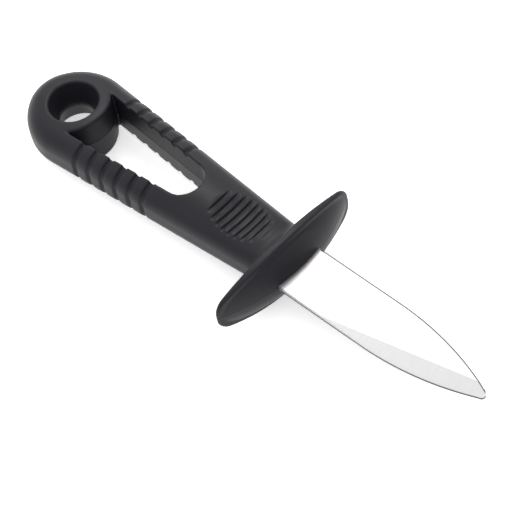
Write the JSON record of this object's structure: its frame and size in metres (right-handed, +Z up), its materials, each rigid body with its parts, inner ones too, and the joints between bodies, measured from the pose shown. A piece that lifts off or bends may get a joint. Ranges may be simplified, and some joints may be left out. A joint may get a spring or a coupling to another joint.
{
  "type": "oyster knife",
  "caption": "Oyster knife with a pointed flat blade, an oval hand guard and a moulded handle that has a long window, finger grooves, thumb rests and a hanging hole.",
  "frame": {"origin": "centre of the hanging hole at mid height of the handle, on the mould's parting plane", "axes": "+X along the knife to the blade's tip, +Y across the handle, +Z up out of the face that the blade's bevel is ground on"},
  "size_m": [0.155, 0.048, 0.0184],
  "materials": {
    "blade": "bright ground stainless steel with a finer cross-ground bevel",
    "handle": "charcoal moulded plastic with a fine satin grain"
  },
  "bodies": {
    "root": {"blade": "blade", "handle": "handle"}
  },
  "joints": []
}
